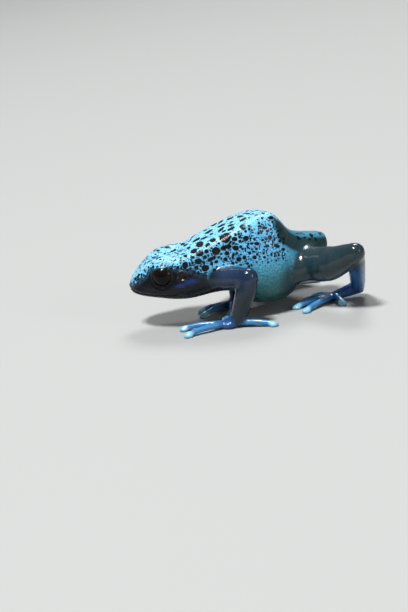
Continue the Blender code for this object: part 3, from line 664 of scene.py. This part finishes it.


# Limb colours along each bone are partly their own and partly painted shade and light: darker at
# the shoulder root and on forearm and thigh, lighter towards the elbow, shank and feet
bones = []
for name in SIDES:
    arm, leg = ARM[name], LEG[name]
    bones += [
        (arm["shoulder"], arm["elbow"], 2.4, 2.0, ARM_GREY * 0.4, ARM_GREY * 1.2),
        (arm["elbow"], arm["wrist"], 2.0, 1.6, ARM_GREY * 0.8, FOREARM_GREY),
        (arm["wrist"], arm["palm"], 1.6, 1.0, FOREARM_GREY, HAND_BLUE),
        (leg["hip"], leg["knee"], 3.6, 2.1, THIGH_SLATE, THIGH_SLATE),
        (leg["knee"], leg["heel"], 1.9, 1.5, THIGH_SLATE * 0.8, SHANK_BLUE),
        (leg["heel"], leg["sole"], 1.4, 1.0, FOOT_BLUE, FOOT_BLUE),
    ]
    for joints, pad, start in ((arm, "palm", HAND_BLUE), (leg, "sole", FOOT_BLUE)):
        for tip in joints["tips"]:
            bones.append((joints[pad], (*tip, 0.6), 0.8, 0.6, start, DIGIT_BLUE))

fused.update()
points = rows_of(fused.vertices, "co", 3)
normals = rows_of(fused.vertex_normals, "vector", 3)
along, out, high = body_places(points)
standing_off = off_trunk(points)
limb = rise(0.08, 0.6, standing_off) * rise(-0.5, 0.5, along - 12.6)
limb = np.maximum(limb, rise(0.5, 1.2, standing_off) * (high < 6.5) * (along > 6))
for name in SIDES:
    gap, share = bone_distance(points, LEG[name]["hip"], LEG[name]["knee"], 3.6, 2.1)
    limb = np.maximum(limb, rise(0.2, 0.36, share) * (1 - rise(1.4, 2.2, gap)))
limb *= 1 - ((along < 11.5) & (high > 6.6) & (np.abs(out) < 8))

back_line = profile(BACK, along)
belly_line = profile(BELLY, along)
share_up = np.clip((high - belly_line) / (back_line - belly_line), 0, 1)
# From belly to back the colour lightens: partly the frog's own darker belly, partly painted shade
# on the underside
ground = mixed(BELLY_GREEN_AND_SHADE, SEA_GREEN, rise(0.08, 0.36, share_up))
ground = mixed(ground, TURQUOISE, rise(0.34, 0.5, share_up))
ground = mixed(ground, SKY, rise(0.46, 0.66, share_up))
# The top of the back turns pale: partly its own paler blue, partly a painted highlight where the
# light falls on it
ground = mixed(ground, SKY_PALE_AND_SHEEN, rise(0.8, 1.0, share_up) * (1 - rise(29, 33, along)))
# Below its top band the side of the rump darkens: partly its own darker teal, partly painted shade
rump_side = rise(-0.4, 0.9, along - profile(RUMP_LINE, high))
rump_side *= 1 - rise(-RUMP_BAND - 0.4, -RUMP_BAND + 0.3, high - back_line)
ground = mixed(ground, RUMP_EDGE, rise(RUMP_START, RUMP_FULL, along))
ground = mixed(ground, RUMP_TEAL_AND_SHADE, rump_side)

# Painted shade: the flank darkens towards slate round each hip, where the thigh shades it
for name, side in SIDES.items():
    shade = np.array(LEG[name]["hip"]) + np.array(GROIN_SHADE) * (1, side, 1)
    gap = np.linalg.norm(points - shade, axis=1)
    ground = mixed(ground, THIGH_SLATE, 0.85 * (1 - rise(GROIN_REACH * 0.45, GROIN_REACH, gap)))

# Below its upper edge the face is near black and darkest on the throat: partly its own dark colour,
# partly painted shade on the side and underside of the head
below_face = profile(FACE_EDGE, along) - high
face = rise(0.0, 0.9, below_face) * (along < 23)
face_colour = mixed(FACE_BLACK_AND_SHADE, THROAT_AND_SHADE, rise(1.5, 4, below_face))
for at, level_at, long, tall in CHEEK_PATCHES:
    inside = 1 - np.hypot((along - at) / long, (high - level_at) / tall)
    face_colour = mixed(face_colour, COBALT, rise(-0.3, 0.9, inside))
ground = mixed(ground, face_colour, face)

weight_sum = np.full(len(points), 1e-9)
limb_colour = np.zeros((len(points), 3))
for a, b, thick_a, thick_b, colour_a, colour_b in bones:
    gap, share = bone_distance(points, a, b, thick_a, thick_b)
    weight = np.exp(-gap / 0.25)
    limb_colour += weight[:, None] * mixed(colour_a, colour_b, rise(0.05, 0.55, share))
    weight_sum += weight
limb_colour /= weight_sum[:, None]
pale_tip = np.zeros(len(points))
for centre, _ in digits:
    gap = np.linalg.norm(points - np.array(centre), axis=1)
    pale_tip = np.maximum(pale_tip, 1 - rise(0.75, 1.5, gap))
limb_colour = mixed(limb_colour, DISC_PALE, pale_tip)
ground = mixed(ground, limb_colour, limb)


def seen_at(surface, across, down):
    """The point of the skin that the camera shows at a pixel."""
    way = ahead + camera_right * ((across - PHOTO_SIZE[0] / 2) * PIXEL)
    way += camera_up * ((PHOTO_SIZE[1] / 2 - down) * PIXEL)
    return surface.ray_cast(CAMERA_AT - PLACE, way.normalized())[:2]


def stamp_spot(edge_distance, middle, normal, long_way, short_way):
    """Lower the distance to the nearest spot's edge round one oval spot."""
    halves = np.linalg.norm([long_way, short_way], axis=1)
    near = np.abs(points - middle).max(axis=1) < SPOT_REACH + halves.max()
    rel = points[near] - middle
    basis = np.stack([long_way, short_way, normal], 1)
    share = rel @ np.linalg.inv(basis).T
    size = np.hypot(share[:, 0], share[:, 1])
    gap = (size - 1) * halves.min() + np.clip(np.abs(share[:, 2]) - 1.2, 0, None)
    edge_distance[near] = np.minimum(edge_distance[near], gap)


faces = [tuple(p.vertices) for p in fused.polygons]
surface = BVHTree.FromPolygons(points.tolist(), faces)
spot_edge = np.full(len(points), SPOT_REACH)
placed = []
for across, down, long, short, tilt in LEFT_SPOTS:
    middle, normal = seen_at(surface, across, down)
    if middle is None:
        continue
    lean = math.radians(tilt)
    ways = []
    for half, angle in ((long / 2, lean), (short / 2, lean + math.pi / 2)):
        way = camera_right * math.cos(angle) + camera_up * math.sin(angle)
        flat = way - ahead * (way.dot(normal) / ahead.dot(normal))
        stretch = min(flat.length, SPOT_STRETCH)
        size = half * PIXEL * (middle - CAMERA_AT + PLACE).length
        ways.append(np.array(flat.normalized() * size * stretch))
    stamp_spot(spot_edge, np.array(middle), np.array(normal), *ways)
    placed.append((np.array(middle), max(np.linalg.norm(w) for w in ways)))

# The far side and the middle of the back carry spots of the same kind, placed by chance
chance = np.random.default_rng(HIDDEN_SEED)
off_view = (out < 0.72 * profile(RIDGE_OUT, along)) & (limb < 0.1)
off_view &= (below_face < -0.5) & (share_up > 0.5) & (along > 2.2) & (along < 40.5)
off_view |= (out > 0) & (along > 33.5) & (share_up > 0.82) & (limb < 0.1)
choices = chance.permutation(np.flatnonzero(off_view))[:HIDDEN_TRIES]
count = 0
for pick in choices:
    if count >= HIDDEN_SPOTS:
        break
    middle, normal = points[pick], normals[pick]
    high_up = rise(0.5, 0.8, share_up[pick])
    forward = 1 - rise(22, 32, along[pick]) * 0.55
    on_snout = 1 - rise(11, 14, along[pick])
    largest = (0.35 + 0.75 * high_up) * forward * (1 - 0.5 * on_snout)
    size = largest * (0.35 + 0.75 * chance.random() ** 1.5)
    if any(np.linalg.norm(middle - other) < size + reach + SPOT_GAP for other, reach in placed):
        continue
    turn_by = chance.uniform(0, math.pi)
    side_way = np.cross(normal, (0.3, 0.1, 1.0))
    side_way /= np.linalg.norm(side_way)
    other_way = np.cross(normal, side_way)
    long_way = side_way * math.cos(turn_by) + other_way * math.sin(turn_by)
    short_way = np.cross(normal, long_way)
    stretch = chance.uniform(1.0, 1.35)
    stamp_spot(spot_edge, middle, normal, long_way * size * stretch, short_way * size / stretch)
    placed.append((middle, size * stretch))
    count += 1
# The ear drums are black as well
for side in SIDES.values():
    gap = np.linalg.norm(points - on_side(EAR, side), axis=1) - EAR_RADIUS * 0.98
    spot_edge = np.minimum(spot_edge, gap)

# How thickly the small specks stand, how grainy the skin is and how near the dark face
speck = rise(0.34, 0.62, share_up) * (1 - limb) * (1 - 0.75 * rise(29.5, 31.5, along))
speck *= 1 - 0.35 * rise(0.88, 0.98, share_up)
grain = (1 - limb) * (1 - 0.25 * rise(0.45, 0.7, share_up)) * (1 - face * 0.6)
dusk = np.clip(below_face, -2, 2) * (along < 23) - 2 * (along >= 23)
dusk = dusk * (1 - limb) - 2 * limb
dusk -= 0.9 * bell(along - 7.9, 2.2) * (below_face < 0.2)
dusk -= 1.5 * rise(16.5, 18.5, along)


def store(mesh, name, kind, values):
    """Keep values on the mesh's points for the material to read."""
    layer = mesh.attributes.new(name, kind, "POINT")
    if kind == "FLOAT":
        layer.data.foreach_set("value", np.asarray(values, np.float32))
    elif kind == "FLOAT_VECTOR":
        layer.data.foreach_set("vector", np.asarray(values, np.float32).ravel())
    else:
        rows = np.concatenate([values, np.ones((len(values), 1))], 1)
        layer.data.foreach_set("color", rows.astype(np.float32).ravel())


store(fused, "ground_colour", "FLOAT_COLOR", ground)
SKIN_MAPS = {"spot_edge": spot_edge, "speck": speck, "grain": grain, "dusk": dusk, "limb": limb}
for name, values in SKIN_MAPS.items():
    store(fused, name, "FLOAT", values)
fused.transform(Matrix.Translation(PLACE))
fused.transform(Matrix.Scale(MM, 4))
fused.shade_smooth()


# Skin, its finish
# A film of moisture lies on a finely granular skin. Black spots have clean wavy edges and
# brownish middles, and between them stand tiny specks that thin out towards the belly.
SPOT_BLACK = (*tint(12, 12, 14), 1)
SPOT_BROWN = (*tint(34, 24, 18), 1)
LIGHTER, DARKER = (1.3, 1.22, 1.12, 1), (0.62, 0.74, 0.84, 1)
SPECK_CELL = 0.75
FINE_SPECK_CELL = 0.42
FACE_CELL = 0.55
GRAIN_CELL = 0.36
RELIEF_HEIGHT = 0.12


class Wire:
    """A shader socket; sums and products of wires become Math nodes."""

    def __init__(self, socket):
        self.socket = socket

    @staticmethod
    def node(tree, kind, settings, sockets, out=0):
        made = tree.nodes.new(kind)
        for name, value in settings.items():
            setattr(made, name, value)
        for name, value in sockets.items():
            if isinstance(value, Wire):
                tree.links.new(value.socket, made.inputs[name])
            else:
                made.inputs[name].default_value = value
        return Wire(made.outputs[out])

    def worked(self, operation, *values):
        """A Math node in this wire's tree."""
        return Wire.node(self.socket.id_data, "ShaderNodeMath", {"operation": operation},
                         dict(enumerate(values)))

    def __add__(self, other):
        return self.worked("ADD", self, other)

    def __radd__(self, other):
        return self.worked("ADD", other, self)

    def __sub__(self, other):
        return self.worked("SUBTRACT", self, other)

    def __rsub__(self, other):
        return self.worked("SUBTRACT", other, self)

    def __mul__(self, other):
        return self.worked("MULTIPLY", self, other)

    def __rmul__(self, other):
        return self.worked("MULTIPLY", other, self)

    def __truediv__(self, other):
        return self.worked("DIVIDE", self, other)

    def at_least(self, other):
        return self.worked("MAXIMUM", self, other)

    def square_root(self):
        return self.worked("SQRT", self)

    def rises(self, low, high):
        """Smooth step of this value from 0 at low to 1 at high."""
        return Wire.node(self.socket.id_data, "ShaderNodeMapRange",
                         {"interpolation_type": "SMOOTHSTEP"},
                         {"Value": self, "From Min": low, "From Max": high})

    def towards(self, other, amount):
        """This colour mixed with another."""
        return colours_mixed(self.socket.id_data, amount, self, other)


def colours_mixed(tree, amount, a, b, blend="MIX"):
    """From colour a to colour b by the amount."""
    return Wire.node(tree, "ShaderNodeMix", {"data_type": "RGBA", "blend_type": blend},
                     {"Factor": amount, 6: a, 7: b}, 2)


def new_finish(name):
    """An empty material and its node tree."""
    material = bpy.data.materials.new(name)
    material.use_nodes = True
    material.node_tree.nodes.clear()
    return material, material.node_tree


def close_finish(tree, shader):
    """Lead the shader to the material's surface."""
    output = tree.nodes.new("ShaderNodeOutputMaterial")
    tree.links.new(shader.socket, output.inputs["Surface"])


def noise(tree, where, cell, detail=2.0, roughness=0.5):
    """Soft random values with features of about the given size in millimetres."""
    return Wire.node(tree, "ShaderNodeTexNoise", {"noise_dimensions": "3D"},
                     {"Vector": where, "Scale": 1 / (cell * MM), "Detail": detail,
                      "Roughness": roughness})


def cells(tree, where, cell, out=0, **settings):
    """Distance to scattered points about one cell apart, in cells, or their random colours."""
    return Wire.node(tree, "ShaderNodeTexVoronoi", {"voronoi_dimensions": "3D", **settings},
                     {"Vector": where, "Scale": 1 / (cell * MM), "Randomness": 0.85}, out)


def red_of(tree, colour):
    """The red share of a colour."""
    return Wire.node(tree, "ShaderNodeSeparateColor", {}, {"Color": colour})


def attribute(tree, name, out="Fac"):
    """Values that store() kept on the mesh."""
    return Wire.node(tree, "ShaderNodeAttribute", {"attribute_name": name}, {}, out)


skin_finish, tree = new_finish("moist_skin")
where = Wire.node(tree, "ShaderNodeTexCoord", {}, {}, "Object")
ground_in = attribute(tree, "ground_colour", "Color")
spot_in, speck_in, grain_in, dusk_in, limb_in = (attribute(tree, name) for name in SKIN_MAPS)

mottle = noise(tree, where, 2.6, 3)
fine_mottle = noise(tree, where, 0.35, 2)
lighter = colours_mixed(tree, 1.0, ground_in, LIGHTER, "MULTIPLY")
darker = colours_mixed(tree, 1.0, ground_in, DARKER, "MULTIPLY")
colour = darker.towards(lighter, (mottle * 0.55 + fine_mottle * 0.45).rises(0.3, 0.7))

# Granules: partly the skin's own lighter dots, partly painted glints on their raised tops and
# painted shade in the hollows between them
granules = cells(tree, where, GRAIN_CELL, feature="SMOOTH_F1")
colour = colour.towards(lighter, (1 - granules).rises(0.5, 0.8) * grain_in)
colour = colour.towards(darker, granules.rises(0.35, 0.6) * grain_in * 0.8)

wobble = (noise(tree, where, 0.7, 2) - 0.5) * 0.3 + (fine_mottle - 0.5) * 0.2
spots = 1 - (spot_in + wobble).rises(0.0, 0.12)
speck_size = red_of(tree, cells(tree, where, SPECK_CELL, 1))
speck_far = cells(tree, where, SPECK_CELL)
specks = (speck_in * (speck_size * 0.42 + 0.18) - speck_far).rises(-0.02, 0.03)
fine_size = red_of(tree, cells(tree, where, FINE_SPECK_CELL, 1))
fine_far = cells(tree, where, FINE_SPECK_CELL)
fine_specks = (speck_in * (fine_size * 0.4 + 0.12) - fine_far).rises(-0.04, 0.04)
clear_of_spots = spot_in.rises(0.06, 0.2)
dark = spots.at_least(specks * clear_of_spots).at_least(fine_specks * clear_of_spots)

# Towards the dark face the specks crowd until they close up
crowding = dusk_in.rises(-2.0, 0.5) * 0.95 - cells(tree, where, FACE_CELL)
face_dark = crowding.rises(-0.06, 0.06) * (1 - dusk_in.rises(0.6, 1.6))
dark = dark.at_least(face_dark * 0.9)
depth = (spot_in + noise(tree, where, 0.5, 1) * 0.4).rises(-0.5, -0.05)
spot_colour = colours_mixed(tree, depth, SPOT_BROWN, SPOT_BLACK)
colour = colour.towards(spot_colour, dark)

pores = noise(tree, where, 0.12, 2)
relief = (1 - granules) * (grain_in * 1.3 + 0.1) + pores * 0.12
relief = relief + noise(tree, where, 0.9, 2) * 0.6
bump = Wire.node(tree, "ShaderNodeBump", {}, {
    "Strength": 0.7, "Distance": RELIEF_HEIGHT * MM, "Height": relief})
roughness = 0.24 + grain_in * 0.1 + (fine_mottle - 0.5) * 0.16 - limb_in * 0.05
film = limb_in * 0.3 + 0.08
skin_shader = Wire.node(tree, "ShaderNodeBsdfPrincipled", {}, {
    "Base Color": colour, "Roughness": roughness, "Normal": bump, "Coat Weight": film,
    "Coat Roughness": 0.12, "Specular IOR Level": 0.36, "IOR": 1.42})
close_finish(tree, skin_shader)
fused.materials.clear()
fused.materials.append(skin_finish)
flesh = [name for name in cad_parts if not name.startswith("eye_")]
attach(skin, "root")
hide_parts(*flesh)


# Eyes
# Moist black-brown balls held by the lids. The pupil is a wide oval and the iris so dark that
# only its rim shows a little bronze.
EYE_PUPIL = (0.36, 0.27)
PUPIL_BLACK = (0.0012, 0.0012, 0.0016, 1)
IRIS_BROWN, IRIS_BRONZE = (*tint(14, 11, 11), 1), (*tint(58, 42, 28), 1)
IRIS_START, IRIS_EDGE, IRIS_END = 0.3, 0.74, 0.84
EYE_CLEARANCE = 0.01

eye_finish, tree = new_finish("wet_eye")
place = attribute(tree, "eye_map", "Vector")
eye_x, eye_y = (Wire.node(tree, "ShaderNodeSeparateXYZ", {}, {"Vector": place}, part)
                for part in ("X", "Y"))
round_out = (eye_x * eye_x + eye_y * eye_y).square_root()
pupil_x, pupil_y = eye_x / EYE_PUPIL[0], eye_y / EYE_PUPIL[1]
pupil = (pupil_x * pupil_x + pupil_y * pupil_y).rises(0.92, 1.12)
stretched = Wire.node(tree, "ShaderNodeVectorMath", {"operation": "NORMALIZE"}, {0: place})
streak = Wire.node(tree, "ShaderNodeTexNoise", {"noise_dimensions": "3D"},
                   {"Vector": stretched, "Scale": 14.0, "Detail": 4.0, "Roughness": 0.7})
flecks = streak.rises(0.5, 0.72) * round_out.rises(IRIS_START, IRIS_EDGE)
flecks = flecks * (1 - round_out.rises(IRIS_EDGE, IRIS_END))
iris = colours_mixed(tree, flecks, IRIS_BROWN, IRIS_BRONZE)
eye_colour = colours_mixed(tree, pupil, PUPIL_BLACK, iris)
eye_shader = Wire.node(tree, "ShaderNodeBsdfPrincipled", {}, {
    "Base Color": eye_colour, "Roughness": 0.3, "Coat Weight": 0.25, "Coat Roughness": 0.03,
    "Specular IOR Level": 0.06, "IOR": 1.38})
close_finish(tree, eye_shader)

for name, side in SIDES.items():
    axis = eye_axis(side)
    forward = (body_point(EYE_ALONG - 1, 0, 0) - body_point(EYE_ALONG, 0, 0)).normalized()
    upward = axis.cross(forward)
    upward = (upward if upward.z > 0 else -upward).normalized()
    forward = upward.cross(axis).normalized()
    bm = bmesh.new()
    bmesh.ops.create_uvsphere(bm, u_segments=96, v_segments=64, radius=1)
    eye_mesh = bpy.data.meshes.new(f"eyeball_{name}")
    bm.to_mesh(eye_mesh)
    bm.free()
    unit = rows_of(eye_mesh.vertices, "co", 3)
    store(eye_mesh, "eye_map", "FLOAT_VECTOR", unit)
    basis = Matrix((forward, upward, axis)).transposed()
    centre = body_point(EYE_ALONG, side * EYE_OUT, EYE_HIGH) + PLACE
    eye_mesh.transform(Matrix.Scale(MM, 4) @ Matrix.Translation(centre) @ basis.to_4x4()
                       @ Matrix.Scale(EYE_RADIUS - EYE_CLEARANCE, 4))
    eye_mesh.materials.append(eye_finish)
    eye_mesh.shade_smooth()
    eyeball = new_object(f"eyeball_{name}", eye_mesh)
    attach(eyeball, "root")
    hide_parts(f"eye_{name}")


# Scutes on the digits
# Each disc at the end of a finger or toe carries two small smooth plates of skin side by
# side, a mark of this family of frogs. They grow from the disc and are paler than it.
SCUTE_SIZE = (0.42, 0.27, 0.15)
SCUTE_SPREAD = 0.3
SCUTE_BACK = 0.12
SCUTE_HIGH = 0.84
SCUTE_TILT = math.radians(-14)
SCUTE_BLUE, SCUTE_PALE = (*tint(128, 186, 222), 1), (*tint(184, 224, 242), 1)
SCUTE_RELIEF = 0.04


def geometry_inputs(group, kinds):
    """Named inputs of a node tree, given as name and kind, with their identifiers."""
    group.interface.new_socket("Geometry", in_out="INPUT", socket_type="NodeSocketGeometry")
    made = {}
    for name, kind in kinds:
        socket = group.interface.new_socket(name, in_out="INPUT", socket_type=kind)
        made[name] = socket.identifier
    group.interface.new_socket("Geometry", in_out="OUTPUT", socket_type="NodeSocketGeometry")
    return made


scute_finish, tree = new_finish("scute_skin")
where = Wire.node(tree, "ShaderNodeTexCoord", {}, {}, "Object")
shade = noise(tree, where, 0.5, 3).rises(0.3, 0.7)
scute_colour = colours_mixed(tree, shade, SCUTE_BLUE, SCUTE_PALE)
scute_bump = Wire.node(tree, "ShaderNodeBump", {}, {
    "Strength": 0.4, "Distance": SCUTE_RELIEF * MM, "Height": noise(tree, where, 0.2, 2)})
close_finish(tree, Wire.node(tree, "ShaderNodeBsdfPrincipled", {}, {
    "Base Color": scute_colour, "Roughness": noise(tree, where, 0.6) * 0.2 + 0.22,
    "Normal": scute_bump, "Coat Weight": 0.4, "Coat Roughness": 0.14}))

spots_at, turned = [], []
for centre, facing in digits:
    for side in (1, -1):
        offset = Vector((-SCUTE_BACK, side * SCUTE_SPREAD, 0))
        offset.rotate(Matrix.Rotation(facing, 3, "Z"))
        spots_at.append((Vector((centre.x, centre.y, SCUTE_HIGH)) + offset + PLACE) * MM)
        turned.append((SCUTE_TILT * side, 0, facing))
scute_mesh = bpy.data.meshes.new("disc_scutes")
scute_mesh.from_pydata([tuple(p) for p in spots_at], [], [])
store(scute_mesh, "turned", "FLOAT_VECTOR", np.array(turned))
scutes = new_object("disc_scutes", scute_mesh)
group = bpy.data.node_groups.new("scutes_on_discs", "GeometryNodeTree")
inputs = geometry_inputs(group, (("Scute size", "NodeSocketVector"),
                                 ("Finish", "NodeSocketMaterial")))
source = group.nodes.new("NodeGroupInput")
result = group.nodes.new("NodeGroupOutput")
ball = group.nodes.new("GeometryNodeMeshIcoSphere")
ball.inputs["Radius"].default_value = 1
ball.inputs["Subdivisions"].default_value = 3
turned_in = group.nodes.new("GeometryNodeInputNamedAttribute")
turned_in.data_type = "FLOAT_VECTOR"
turned_in.inputs["Name"].default_value = "turned"
spread = group.nodes.new("GeometryNodeInstanceOnPoints")
realize = group.nodes.new("GeometryNodeRealizeInstances")
smooth = group.nodes.new("GeometryNodeSetShadeSmooth")
coat = group.nodes.new("GeometryNodeSetMaterial")
for a, b in (
        (source.outputs["Geometry"], spread.inputs["Points"]),
        (ball.outputs["Mesh"], spread.inputs["Instance"]),
        (turned_in.outputs["Attribute"], spread.inputs["Rotation"]),
        (source.outputs["Scute size"], spread.inputs["Scale"]),
        (spread.outputs["Instances"], realize.inputs["Geometry"]),
        (realize.outputs["Geometry"], smooth.inputs["Geometry"]),
        (smooth.outputs["Geometry"], coat.inputs["Geometry"]),
        (source.outputs["Finish"], coat.inputs["Material"]),
        (coat.outputs["Geometry"], result.inputs["Geometry"])):
    group.links.new(a, b)
grow = scutes.modifiers.new("grow", "NODES")
grow.node_group = group
grow[inputs["Scute size"]] = [s * MM for s in SCUTE_SIZE]
grow[inputs["Finish"]] = scute_finish
applied(scutes)
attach(scutes, "root")


# Studio
# A pale matt floor under soft light: the main panel high above the head's left side, a
# weaker one behind, a weak one low at the rump's side, and an even pale surround.
# Each panel has its place and width in metres and its power in watts.
KEY = ((-0.33, -0.3, 1.17), 0.27, 21.6)
RIM = ((0.3, 0.72, 0.9), 0.42, 7.2)
FILL = ((1.02, -1.26, 0.6), 0.48, 3.6)
LIGHT_AIM = Vector((0, 0, 0.009))
SURROUND, SURROUND_COLOUR = 0.18, (0.93, 0.96, 1.0, 1)
FLOOR_CORNERS = ((-4, -4, 0), (4, -4, 0), (4, 4, 0), (-4, 4, 0))
FLOOR_PALE = (0.37, 0.38, 0.37, 1)

floor_mesh = bpy.data.meshes.new("floor")
floor_mesh.from_pydata(FLOOR_CORNERS, [], [(0, 1, 2, 3)])
floor = new_object("floor", floor_mesh)
floor_finish, tree = new_finish("pale_floor")
close_finish(tree, Wire.node(tree, "ShaderNodeBsdfPrincipled", {}, {
    "Base Color": FLOOR_PALE, "Roughness": 0.8}))
floor_mesh.materials.append(floor_finish)
for name, (at, size, power) in (("key", KEY), ("rim", RIM), ("fill", FILL)):
    panel = bpy.data.lights.new(f"{name}_panel", "AREA")
    panel.shape = "DISK"
    panel.size = size
    panel.energy = power
    light = new_object(f"{name}_panel", panel)
    light.location = at
    light.rotation_euler = (LIGHT_AIM - Vector(at)).to_track_quat("-Z", "Y").to_euler()
world = bpy.data.worlds.new("surround")
bpy.context.scene.world = world
world.use_nodes = True
sky = world.node_tree.nodes["Background"]
sky.inputs["Color"].default_value = SURROUND_COLOUR
sky.inputs["Strength"].default_value = SURROUND
bpy.context.scene.view_settings.view_transform = "Standard"
